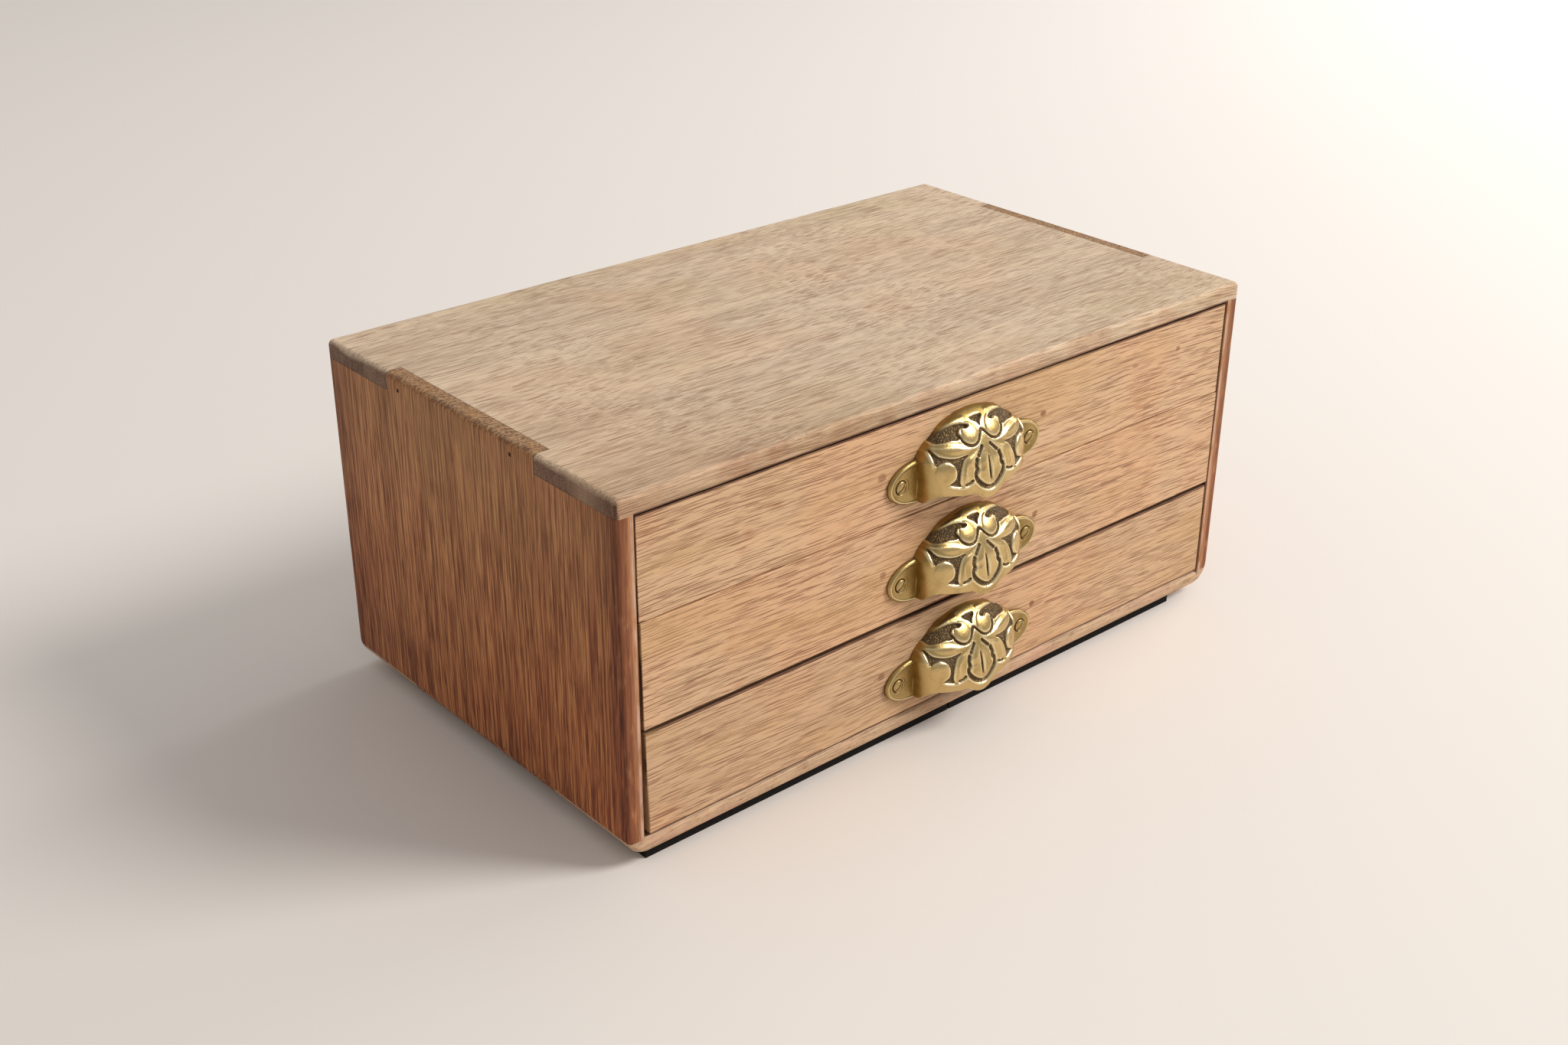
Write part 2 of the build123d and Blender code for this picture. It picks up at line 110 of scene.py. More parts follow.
class Shader:
    """A material with one Principled surface, whose sockets are set from values and expressions."""

    def __init__(self, name, roughness=0.5, metallic=0.0, specular=0.5):
        self.material = bpy.data.materials.new(name)
        self.material.use_nodes = True
        self.tree = self.material.node_tree
        self.surface = self.tree.nodes["Principled BSDF"]
        for key, value in (("Roughness", roughness), ("Metallic", metallic),
                           ("Specular IOR Level", specular)):
            self.surface.inputs[key].default_value = value

    def node(self, kind, settings=None, sockets=None):
        """Adds a node: its settings come first, and then the values or links of its sockets."""
        node = self.tree.nodes.new(kind)
        for key, value in (settings or {}).items():
            if key == "stops":
                for element, (place, colour) in zip(self._elements(node, len(value)), value):
                    element.position = place
                    element.color = (*colour, 1.0)
            else:
                setattr(node, key, value)
        for key, value in (sockets or {}).items():
            self.link(value, node.inputs[key])
        return Node(self, node)

    @staticmethod
    def _elements(node, count):
        elements = node.color_ramp.elements
        while len(elements) < count:
            elements.new(1.0)
        return elements

    def link(self, value, socket):
        """Connects a value to a socket, or sets the socket where the value is plain."""
        if isinstance(value, Value):
            self.tree.links.new(value.socket, socket)
        elif isinstance(value, (tuple, list)) and len(value) == 3 and socket.type == "RGBA":
            socket.default_value = (*value, 1.0)
        else:
            socket.default_value = value

    def place(self):
        """Object coordinates."""
        return self.node("ShaderNodeTexCoord").out("Object")

    def axes(self, vector):
        """The three values of a vector."""
        parts = self.node("ShaderNodeSeparateXYZ", None, {0: vector})
        return parts.out(0), parts.out(1), parts.out(2)

    def vector(self, x, y, z):
        """A vector of three values."""
        return self.node("ShaderNodeCombineXYZ", None, {0: x, 1: y, 2: z}).out()

    def attribute(self, name):
        """A float that the mesh carries at each point."""
        return self.node("ShaderNodeAttribute", {"attribute_name": name}).out("Fac")

    def scaled(self, vector, scale):
        return self.node("ShaderNodeVectorMath", {"operation": "MULTIPLY"},
                         {0: vector, 1: scale}).out()

    def moved(self, vector, offset):
        return self.node("ShaderNodeVectorMath", {"operation": "ADD"},
                         {0: vector, 1: offset}).out()

    def noise(self, vector, detail=2.0, roughness=0.5):
        """Soft noise around 0.5 with one feature to each unit of the vector."""
        return self.node("ShaderNodeTexNoise", None,
                         {"Vector": vector, "Scale": 1.0, "Detail": detail,
                          "Roughness": roughness}).out("Fac")

    def blotches(self, place, scale, detail=2.0, roughness=0.5, shift=None):
        """Noise over a place in metres. The scale is how many features go to a metre, either one
        number or one for each axis."""
        vector = self.scaled(place, (scale,) * 3 if np.isscalar(scale) else scale)
        return self.noise(self.moved(vector, shift) if shift else vector, detail, roughness)

    def cells(self, vector):
        """Distance to the nearest of scattered points, one to each unit of the vector."""
        return self.node("ShaderNodeTexVoronoi", {"feature": "F1"},
                         {"Vector": vector, "Scale": 1.0}).out("Distance")

    def mix(self, mask, first, second, blend="MIX"):
        """A colour: the first where the mask is 0 and the second where it is 1."""
        return self.node("ShaderNodeMix", {"data_type": "RGBA", "blend_type": blend},
                         {0: mask, 6: first, 7: second}).out(2)

    def tones(self, mask, stops):
        """A colour ramp: its stops are pairs of a value and a colour."""
        return self.node("ShaderNodeValToRGB", {"stops": stops}, {"Fac": mask}).out("Color")

    def bump(self, height, distance):
        """A normal from heights, where a height of 1 stands the distance out, in metres."""
        return self.node("ShaderNodeBump", None, {"Height": height, "Distance": distance}).out()

    def finish(self, colour, roughness, normal, metallic=None):
        """Connects what varies to the surface."""
        for key, value in (("Base Color", colour), ("Roughness", roughness), ("Normal", normal),
                           ("Metallic", metallic)):
            if value is not None:
                self.link(value, self.surface.inputs[key])
        return self.material


# ---------------------------------------------------------------- settings and places


def tone(red, green, blue):
    """A colour given as its three display values from 0 to 255, in a shader's linear values."""
    shares = np.array((red, green, blue)) / 255
    return tuple(float(v) for v in np.where(shares > 0.04045, ((shares + 0.055) / 1.055) ** 2.4,
                                            shares / 12.92))


def tinted(colour, tint):
    """A colour with each of its values multiplied by the tint's."""
    return tuple(np.multiply(tuple(colour), tint).tolist())


def length_setting(name, description, default, least):
    """A setting that is a length in metres."""
    return bpy.props.FloatProperty(name=name, description=description, default=default, min=least,
                                   subtype="DISTANCE", unit="LENGTH")


def colour_setting(name, description, *display):
    """A setting that is a colour, with its default in display values from 0 to 255."""
    return bpy.props.FloatVectorProperty(name=name, description=description, subtype="COLOR",
                                         size=3, default=tone(*display), min=0, max=1)


class ChestSizes(bpy.types.PropertyGroup):
    """Sizes of the castings' detail, in metres."""

    relief: length_setting("Relief", "How far the pulls' foliage stands between hollow and crest",
                           0.0013, 0.0)
    cup_wall: length_setting("Cup wall", "Thickness of the pulls' shell", 0.0018, 0.0005)
    lug_thickness: length_setting("Lug thickness", "Thickness of the pulls' lugs", 0.0018, 0.0005)
    slot_turn: bpy.props.FloatProperty(
        name="Slot turn", description="Angle of the screws' slots from level",
        default=math.radians(42), subtype="ANGLE", unit="ROTATION")


class ChestColours(bpy.types.PropertyGroup):
    """The main colours of the woods, the brass and the floor."""

    top: colour_setting("Top", "Light tone of the case's top", 225, 199, 169)
    # The left side's tone is darker and redder than the right side's: painted shade.
    side: colour_setting("Left side", "Light tone of the case's left side", 190, 124, 76)
    right_side: colour_setting("Right side", "Light tone of the case's right side", 206, 156, 110)
    front: colour_setting("Fronts", "Light tone of the drawer fronts", 222, 182, 142)
    inside: colour_setting("Insides", "Light tone of the bare wood inside", 205, 170, 128)
    brass: colour_setting("Brass", "Polished brass", 208, 178, 122)
    floor: colour_setting("Floor", "The floor", 235, 228, 221)


CASE_LOW, CASE_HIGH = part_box("left_side")[0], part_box("right_side")[1]
INNER_X = -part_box("left_side")[1].x
FRONT_Y = CASE_LOW.y
TAB_Y = (FRONT_Y + 52 * MM, CASE_HIGH.y - 49 * MM)  # the ends of the sides' middle tabs
TOP_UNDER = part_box("top_board")[0].z
FLOOR_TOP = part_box("bottom_board")[1].z


# ---------------------------------------------------------------- surfaces


def smooth(value, low, high):
    """A soft step: 0 up to low, 1 from high, and 3s^2 - 2s^3 between them."""
    share = np.clip((value - low) / (high - low), 0, 1)
    return share * share * (3 - 2 * share)


def curve(points, closed=False, steps=8):
    """A smooth line through the points: each span is a cubic whose end slopes are half the line
    between the points on either side."""
    points = np.array(points, float)
    if closed:
        ring = np.vstack([points[-1:], points, points[:2]])
    else:
        ring = np.vstack([2 * points[0] - points[1], points, 2 * points[-1] - points[-2]])
    share = (np.arange(steps) / steps)[None, :, None]
    a, b, c, d = (ring[k:len(ring) - 3 + k, None, :] for k in range(4))
    line = 0.5 * (2 * b + (c - a) * share + (2 * a - 5 * b + 4 * c - d) * share**2
                  + (3 * b - a - 3 * c + d) * share**3)
    line = line.reshape(-1, 2)
    return line if closed else np.vstack([line, points[-1:]])


def distance(place, line):
    """The least distance from each place to the pieces of a line."""
    best = np.full(place.shape[:-1], 1e9)
    for start, end in zip(line[:-1], line[1:]):
        along = end - start
        share = np.clip(((place - start) @ along) / (along @ along + 1e-12), 0, 1)
        gap = place - start - share[..., None] * along
        best = np.minimum(best, np.hypot(gap[..., 0], gap[..., 1]))
    return best


def within(place, outline):
    """The distance inside a closed outline, negative outside it: a place is inside where a level
    ray from it crosses the outline an odd number of times."""
    ring = np.vstack([outline, outline[:1]])
    odd = np.zeros(place.shape[:-1], bool)
    for start, end in zip(ring[:-1], ring[1:]):
        rise = end[1] - start[1]
        if rise == 0:
            continue
        crossing = start[0] + (place[..., 1] - start[1]) / rise * (end[0] - start[0])
        spans = (start[1] > place[..., 1]) != (end[1] > place[..., 1])
        odd ^= spans & (place[..., 0] < crossing)
    return np.where(odd, 1, -1) * distance(place, ring)


def grid_faces(rows, columns, around=False):
    """The four-cornered faces of a grid of points numbered row by row, whose last column joins
    the first where the rows go around."""
    number = np.arange(rows * columns).reshape(rows, columns)
    if around:
        number = np.hstack([number, number[:, :1]])
    return np.stack([number[:-1, :-1], number[:-1, 1:], number[1:, 1:], number[1:, :-1]],
                    -1).reshape(-1, 4)


def new_piece(name, points, faces, attributes):
    """A smooth-shaded mesh object from points in metres, with a float for each point under each
    attribute's name. Points that coincide become one, and the faces are turned outwards."""
    mesh = bpy.data.meshes.new(name)
    mesh.from_pydata(points.tolist(), [], faces.tolist())
    for key, values in attributes.items():
        layer = mesh.attributes.new(key, "FLOAT", "POINT")
        layer.data.foreach_set("value", np.asarray(values, np.float32))
    shape = bmesh.new()
    shape.from_mesh(mesh)
    bmesh.ops.remove_doubles(shape, verts=shape.verts, dist=MERGE_GAP)
    bmesh.ops.recalc_face_normals(shape, faces=shape.faces)
    shape.to_mesh(mesh)
    shape.free()
    mesh.shade_smooth()
    piece = bpy.data.objects.new(name, mesh)
    bpy.context.scene.collection.objects.link(piece)
    return piece


# ---------------------------------------------------------------- the cup pulls' form
# Millimetres in a pull's own frame: x to the right of its middle, z above its screws, and depth
# out of the wood.

CUP_TOP = 25.0
CUP_LIP = -9.4  # where the lip meets the wood
CUP_LOBE = -10.6  # the lowest point of the lip, at its middle
CUP_SHOULDER, SHOULDER_LEVEL = 29.7, 9.5
CUP_MOUTH = 28.2
CUP_DEPTH, SPACING_DEPTH = 16.3, 15.0  # the second is the depth by which columns are spaced
PROFILE_BULGE, PROFILE_ROUND = 2.09, 1.55
ARCH_BULGE, ARCH_ROUND = 1.3, 2.0
SECTION_BULGE, SECTION_ROUND = 2.2, 3.26
LUG_ROOT, LUG_REACH, LUG_TAIL, LUG_HALF = 29.0, 15.9, 2.2, 9.7
BORDER_RISE = 0.32  # of a lug's raised border
WALL_FOOT = 0.6  # where the lug's edge turns straight down to the wood
SCREW_SEAT = 3.2  # radius of the dished seat in a lug
HEAD_RADIUS = 2.8
HEAD_CROWN, HEAD_DROP, HEAD_EDGE, HEAD_BACK = 2.75, 0.75, 1.7, 1.4
SHANK_RADIUS, SHANK_LENGTH, SHANK_POINT = 1.3, 9.5, 10.0
SLOT_FLOOR, SLOT_HALF, SLOT_SOFT = 1.95, 0.28, 0.14
CUP_COLUMNS, CUP_ROWS = 250, 132
LUG_RINGS, LUG_SPOKES = 44, 128
HEAD_RINGS, HEAD_SPOKES = 22, 72
FINE_STEPS = 2001  # of a line that is measured to space the columns or rows evenly

# The lip's level along it, as (distance from the middle as a share of the half width, level).
LIP = [(0, CUP_LOBE), (0.06, -10.4), (0.13, -9.8), (0.2, -8.7), (0.26, -7.4), (0.3, -6.7),
       (0.34, -6.6), (0.45, -6.2), (0.6, -5.6), (0.74, -5.0), (0.84, -4.7), (0.92, -5.3),
       (0.97, -7.0), (1.0, CUP_LIP)]

# Half of the foliage, as points (distance from the middle, level). The other half mirrors it.
SCROLL_POCKET = [(23.6, 16.5), (20.4, 19.0), (16.4, 20.7), (12, 21.5), (8, 21.3), (5.8, 20.3),
                 (7.8, 19.6), (10, 20.1), (11.7, 18.9), (11.9, 17.2), (13.4, 16.5), (16.4, 16.8),
                 (20, 16.5)]
SIDE_POCKET = [(26.0, 14.2), (24.0, 12.0), (20, 10.5), (15.5, 9.9), (10.8, 10.1), (13.0, 8.6),
               (14.7, 6), (15.8, 3), (16.3, 0), (16.3, -1.8), (18.6, -1.3), (20.8, -0.3),
               (18.4, 1.2), (17.4, 3.8), (17.7, 6.6), (19.5, 8.7), (22, 9.5), (24.4, 8.9),
               (25.8, 8.2), (26.3, 10.6)]
TOP_POCKET = [(0, 19.1), (1.0, 20.4), (3.4, 22.1), (0.6, 22.5), (-0.6, 22.5), (-3.4, 22.1),
              (-1.0, 20.4)]
CRESCENT = [(26.0, 15.3), (22, 16.1), (17.5, 15.9), (13.8, 15.1), (11, 13.9), (8, 12.9),
            (4.6, 12.5), (8, 11.2), (12, 10.8), (16, 10.9), (20.4, 11.8), (24, 13.4)]
SIDE_LEAF = [(3.4, 12.0), (8, 10.3), (11.4, 9.2), (13.6, 6.6), (14.9, 3), (15.3, -0.8),
             (13.6, -1.2), (10.2, -0.4), (9.4, 2.4), (8.4, 6.0), (5.8, 9.2)]
MIDDLE_LEAF = [(0, 11.2), (2.2, 9.6), (4.4, 7.6), (5.6, 5.2), (5.0, 3.8), (6.4, 2.0), (5.6, 0.4),
               (5.9, -1.4), (4.2, -3.6), (1.8, -5.0), (0, -5.6)]
SLIT = [(0, 7.4), (0.5, 3.2), (0.55, 0.4), (0, -2.6), (-0.55, 0.4), (-0.5, 3.2)]
UPPER_SLOT = [(2.5, 11.6), (3.7, 10.3), (5.3, 8.5)]
LEAF_SLOT = [(6.5, 7.0), (7.2, 5.0), (7.0, 3.2), (8.0, 1.6), (7.5, -0.8), (5.4, -3.4), (2.6, -5.5),
             (0.6, -6.2)]
LOWER_CUT = [(13.6, -1.9), (11.8, -1.7), (10.0, -0.9)]
SCROLL_LINE = [(12.0, 17.6), (11.2, 15.3), (9.2, 13.7), (6.6, 12.9), (4.2, 13.6), (2.3, 15.4),
               (0.9, 17.1), (0, 17.6)]
RIM_BEAD = [(26.9, 8.0), (27.3, 12.0), (26.0, 15.6), (22.6, 19.0), (18, 21.0), (12.4, 22.4),
            (6.4, 22.8)]
LIP_BEAD = [(21.6, -0.9), (17.4, -2.7), (14, -3.1), (11, -2.3), (9.2, -2.0), (7.2, -4.0),
            (4.6, -6.0), (2, -7.2), (0, -7.5)]
SCROLL_MIDDLE, SCROLL_RADIUS = (6.5, 17.2), 4.3
BOSS_MIDDLE, BOSS_RADIUS = (21.9, 4.3), 4.6
LIP_SHARES = (0.15, 0.35, 0.5, 0.65, 0.85)  # shares of the wall where the rounded lip has rows
DIMPLE_MIDDLE, DIMPLE_REACH = (11.2, 2.6), (2.0, 4.2)  # the hollow of the side leaf


def profile_depth(level):
    """Depth of the cup on its middle line: a quarter of a superellipse from the lip to the top."""
    share = np.clip((level - CUP_LIP) / (CUP_TOP - CUP_LIP), 0, 1)
    return CUP_DEPTH * (1 - share**PROFILE_BULGE) ** (1 / PROFILE_ROUND)


def half_width(level):
    """Half the cup's width on the wood: straight sides, and above the shoulders a superellipse."""
    straight = CUP_SHOULDER + (level - SHOULDER_LEVEL) * (CUP_SHOULDER - CUP_MOUTH) / (
        SHOULDER_LEVEL - CUP_LIP)
    share = np.clip((level - SHOULDER_LEVEL) / (CUP_TOP - SHOULDER_LEVEL), 0, 1)
    return straight.clip(0, CUP_SHOULDER) * (1 - share**ARCH_BULGE) ** (1 / ARCH_ROUND)


def lip_level(reach):
    """The lip's level by its distance from the middle, as a share of the half width: it rises
    from the wood to a brow, falls to a cusp at each side, and hangs in a lobe at the middle."""
    return np.interp(reach, *np.transpose(LIP))


def relief(x, z):
    """Height of the foliage over the cup's plain form, as a share of the full relief: pockets are
    sunk inside their outlines, leaves are pillows that rise from their outlines, and slots are
    cut along lines."""
    place = np.stack([np.abs(x), z], -1)
    height = np.zeros(x.shape)
    for outline, rise, soft in ((CRESCENT, 0.42, 1.9), (SIDE_LEAF, 0.3, 1.8),
                                (MIDDLE_LEAF, 0.34, 2.6)):
        height += rise * smooth(within(place, curve(outline, closed=True)), 0, soft)
    for middle, radius, rise in ((SCROLL_MIDDLE, SCROLL_RADIUS, 0.5),
                                 (BOSS_MIDDLE, BOSS_RADIUS, 0.52)):
        reach = np.hypot(place[..., 0] - middle[0], place[..., 1] - middle[1]) / radius
        height += rise * np.sqrt(np.clip(1 - reach**2, 0, 1))
    for line, rise, half in ((RIM_BEAD, 0.22, 1.1), (LIP_BEAD, 0.3, 1.2)):
        height += rise * (1 - smooth(distance(place, curve(line)), 0, half))
    dimple = np.linalg.norm((place - DIMPLE_MIDDLE) / DIMPLE_REACH, axis=-1)
    height -= 0.35 * (1 - smooth(dimple, 0.2, 1.0))
    stipple = 0.16 * (np.sin(5.6 * x + 1.6 * np.sin(1.9 * z))
                      * np.sin(6.2 * z + 1.4 * np.sin(2.3 * x)))
    for outline, sink in ((SCROLL_POCKET, 0.9), (SIDE_POCKET, 0.8), (TOP_POCKET, 0.85)):
        inside = smooth(within(place, curve(outline, closed=True)), -0.35, 0.45)
        height = height * (1 - inside) + (stipple - sink) * inside
    inside = smooth(within(np.stack([x, z], -1), curve(SLIT, closed=True)), -0.35, 0.3)
    height -= 0.95 * inside
    for line, sink, half in ((UPPER_SLOT, 0.9, 1.1), (LEAF_SLOT, 1.1, 1.45),
                             (LOWER_CUT, 0.75, 0.8), (SCROLL_LINE, 0.75, 0.8)):
        height -= sink * (1 - smooth(distance(place, curve(line)), 0.1, half))
    return np.clip(height, -1.0, 0.55)


def even_steps(points, count):
    """Places, as shares of the points' own numbering, that are evenly spaced along their line."""
    lengths = np.concatenate([[0], np.cumsum(np.hypot(*np.diff(points, axis=0).T))])
    return np.interp(np.linspace(0, lengths[-1], count), lengths, np.linspace(0, 1, len(points)))


def cup_form():
    """The cup's plain surface on a grid of rows from lip to top and columns from left to right.
    At each level its section is half a superellipse between the half width and the depth."""

    def section(turn):
        """Shares of the half width and of the depth, by the turn from the left to the right."""
        across = -np.sign(np.cos(turn)) * np.abs(np.cos(turn)) ** (2 / SECTION_BULGE)
        return across, np.clip(np.sin(turn), 0, 1) ** (2 / SECTION_ROUND)

    across, out = section(np.linspace(0, np.pi, FINE_STEPS))
    spaced = even_steps(np.stack([CUP_SHOULDER * across, SPACING_DEPTH * out], -1), CUP_COLUMNS)
    across, out = section(spaced * np.pi)
    across[0], across[-1] = -1, 1
    out[0] = out[-1] = 0
    level = np.linspace(CUP_LOBE, CUP_TOP, FINE_STEPS)
    climb = even_steps(np.stack([level, profile_depth(level)], -1), CUP_ROWS)
    lip = lip_level(np.abs(across))
    z = lip[None, :] + (CUP_TOP - lip[None, :]) * climb[:, None]
    x = half_width(z) * across[None, :]
    return np.stack([x, -profile_depth(z) * out[None, :], z], -1)


def outward(form):
    """Unit normals of a grid, pointing away from the wood and the middle."""
    along = np.gradient(form, axis=1)
    up = np.gradient(form, axis=0)
    normal = np.cross(along, up)
    length = np.linalg.norm(normal, axis=-1, keepdims=True)
    normal = normal / np.maximum(length, 1e-9)
    normal[-1] = (0, 0, 1)
    normal[:, 0, 1] = normal[:, -1, 1] = 0
    return normal


def blurred(values, reach):
    """Each value replaced by the mean of those up to reach steps away along rows and columns."""
    for axis in (0, 1):
        padded = np.pad(values, [(reach, reach) if k == axis else (0, 0) for k in (0, 1)], "edge")
        total = np.cumsum(padded, axis=axis)
        total = np.insert(total, 0, 0, axis=axis)
        size = values.shape[axis]
        high = np.take(total, np.arange(size) + 2 * reach + 1, axis=axis)
        low = np.take(total, np.arange(size), axis=axis)
        values = (high - low) / (2 * reach + 1)
    return values


def cup_mesh(sizes):
    """The cup as one closed shell: its carved outside, its plain inside at the wall's depth
    below, and strips between them along the lip, which is rounded, and along the wood."""
    form = cup_form()
    normal = outward(form)
    height = relief(form[..., 0], form[..., 2])
    reach = np.arange(CUP_ROWS)[:, None] / CUP_ROWS
    outside = form + normal * (height * sizes.relief / MM * smooth(reach, 0, 0.03))[..., None]
    wall = sizes.cup_wall / MM
    inside = form - normal * wall
    inside[..., 1] = np.minimum(inside[..., 1], 0)
    inside[..., 0] = np.where(np.abs(form[..., 0]) < np.abs(normal[..., 0]) * wall, 0,
                              inside[..., 0])
    inside[-1] = inside[-1].mean(0)
    rounding = []
    for share in LIP_SHARES:
        bulge = np.sqrt(0.25 - (share - 0.5) ** 2) * wall * 0.7
        row = form[0] - normal[0] * wall * share
        row[:, 2] -= bulge
        row[:, 1] = np.minimum(row[:, 1], 0)
        rounding.append(row)
    rows = np.concatenate([outside[::-1], rounding, inside])
    edge = height - blurred(height, 4)
    steps = len(LIP_SHARES)
    blank = np.zeros((steps, CUP_COLUMNS))
    number = np.arange(rows[..., 0].size).reshape(rows.shape[:2])
    outer, inner = number[:CUP_ROWS][::-1], number[-CUP_ROWS:]
    seams = []  # the edges along the wood: strips of wall, and fans that end the lip's rounding
    for column in (0, CUP_COLUMNS - 1):
        seams.append(np.stack([outer[:-1, column], outer[1:, column], inner[1:, column],
                               inner[:-1, column]], -1))
        ends = number[CUP_ROWS - 1:CUP_ROWS + steps + 1, column]
        seams.append(np.stack([np.full(steps, ends[0]), ends[1:-1], ends[2:], ends[2:]], -1))
    # shaded rises toward the wood on the cup's walls: painted shade there, as well as aged brass.
    shaded = 1 - smooth(-form[..., 1], 2.5, 12.5)
    return rows, [grid_faces(len(rows), CUP_COLUMNS), *seams], {
        "relief": np.concatenate([height[::-1], blank, np.full(form.shape[:2], -0.5)]),
        "edge": np.concatenate([edge[::-1], blank + 0.3, np.zeros(form.shape[:2])]),
        "shaded": np.concatenate([shaded[::-1], blank + 0.3, np.ones(form.shape[:2])])}


def lug_mesh(side, sizes):
    """A lug as a closed disc of rings: a half ellipse outside the cup and a shallow one inside
    its wall. Its face has a raised border and a dished seat for the screw."""
    turn = np.linspace(0, 2 * np.pi, LUG_SPOKES, endpoint=False)
    outer = np.cos(turn) > 0
    edge = np.stack([np.where(outer, LUG_REACH, LUG_TAIL) * np.cos(turn),
                     LUG_HALF * np.sin(turn)], -1)
    share = np.linspace(0, 1, LUG_RINGS)[:, None]
    x = LUG_ROOT + edge[None, :, 0] * share
    z = edge[None, :, 1] * share
    thick = sizes.lug_thickness / MM
    gap = (1 - share) * np.hypot(edge[:, 0], edge[:, 1])[None, :]
    lift = BORDER_RISE * (1 - smooth(np.abs(gap - 1.1), 0.0, 0.75)) * outer
    sunk = -0.16 * smooth(gap, 1.4, 2.6) * outer
    seat = np.hypot(x - SCREW_SPACING / 2, z)
    dish = -0.5 * (1 - smooth(seat, SCREW_SEAT - 0.5, SCREW_SEAT + 0.15))
    collar = 0.22 * (1 - smooth(np.abs(seat - SCREW_SEAT - 0.5), 0, 0.5))
    hammer = 0.015 * np.sin(2.1 * x + np.sin(1.3 * z)) * np.sin(2.4 * z)
    height = lift + sunk + dish + collar
    depth = thick + height + hammer - 0.5 * smooth(share, 0.955, 1.0)
    top = np.stack([side * x, -depth, z], -1)
    border = top[-1] * (1, 0, 1)
    wall, middle = border - (0, WALL_FOOT, 0), border * 0 + (side * LUG_ROOT, 0, 0)
    rows = np.concatenate([top, [wall, border, middle]])
    worn = 0.5 * lift / BORDER_RISE + collar
    bright = worn - 0.9 * (1 - smooth(seat, SCREW_SEAT - 0.4, SCREW_SEAT + 0.3))
    tail = np.zeros((3, LUG_SPOKES))
    return rows, [grid_faces(len(rows), LUG_SPOKES, around=True)], {
        "relief": np.concatenate([height * 0.9 + 0.02, tail - 0.3]),
        "edge": np.concatenate([bright * 0.35, tail]),
        "shaded": np.concatenate([0.8 - lift, tail + 0.6])}


def pull_middle(drawer):
    """Where a pull's own middle lies on the wood, from the box of its CAD piece."""
    low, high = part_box(f"cup_pull_{drawer}")
    return np.array(((low.x + high.x) / 2, high.y, high.z - CUP_TOP * MM))


def seated(points, drawer):
    """Points in a pull's own millimetres, turned by its tilt and set in place in metres."""
    tilt = math.radians(PULL_TILTS[drawer])
    x, y, z = points.T
    turned = np.stack([x * math.cos(tilt) - z * math.sin(tilt), y,
                       x * math.sin(tilt) + z * math.cos(tilt)], -1)
    return turned * MM + pull_middle(drawer)


def screw_mesh(place_x, turn):
    """A slotted round-head screw: a profile turned about its axis, with the head's dome cut by a
    slot across it, and a plain shank behind."""
    arc = np.linspace(0, 1, HEAD_RINGS)
    radius = np.concatenate([arc * HEAD_RADIUS, [HEAD_RADIUS] * 2, [SHANK_RADIUS] * 2, [0.0]])
    dome = HEAD_CROWN - HEAD_DROP * arc**2.2
    dome[-1] -= 0.12
    depth = np.concatenate([dome, [HEAD_EDGE, HEAD_BACK, HEAD_BACK, -SHANK_LENGTH, -SHANK_POINT]])
    angle = np.linspace(0, 2 * np.pi, HEAD_SPOKES, endpoint=False)
    x = radius[:, None] * np.cos(angle)
    z = radius[:, None] * np.sin(angle)
    across = np.abs(x * math.sin(turn) - z * math.cos(turn))
    on_head = (np.arange(len(radius)) < HEAD_RINGS)[:, None]
    cut = on_head * (1 - smooth(across, SLOT_HALF, SLOT_HALF + SLOT_SOFT))
    out = depth[:, None] * (1 - cut) + np.minimum(depth[:, None], SLOT_FLOOR) * cut
    rows = np.stack([place_x + x, -out, z], -1)
    return rows, [grid_faces(len(rows), HEAD_SPOKES, around=True)], {
        "relief": np.where(on_head, -cut, -0.4) + 0.15,
        "edge": np.zeros(cut.shape),
        "shaded": np.full(cut.shape, 0.2)}


def joined(parts):
    """The points, faces and attributes of several parts as one: each part has rows of points,
    blocks of faces that number its points, and a value for each point under each name."""
    points, faces, first = [], [], 0
    for rows, blocks, _ in parts:
        points.append(rows.reshape(-1, 3))
        faces += [block + first for block in blocks]
        first += len(points[-1])
    return np.concatenate(points), np.concatenate(faces), {
        key: np.concatenate([values[key].ravel() for _, _, values in parts])
        for key in parts[0][2]}


# ---------------------------------------------------------------- materials


def near(value, place, half):
    """1 where the value is at the place, falling to 0 half away."""
    return 1 - abs(value - place).ramp(0.0, half)


def between(value, low, high, soft):
    """1 between low and high, and 0 beyond them, with edges that are soft on both sides."""
    return value.ramp(low - soft, low + soft) * (1 - value.ramp(high - soft, high + soft))


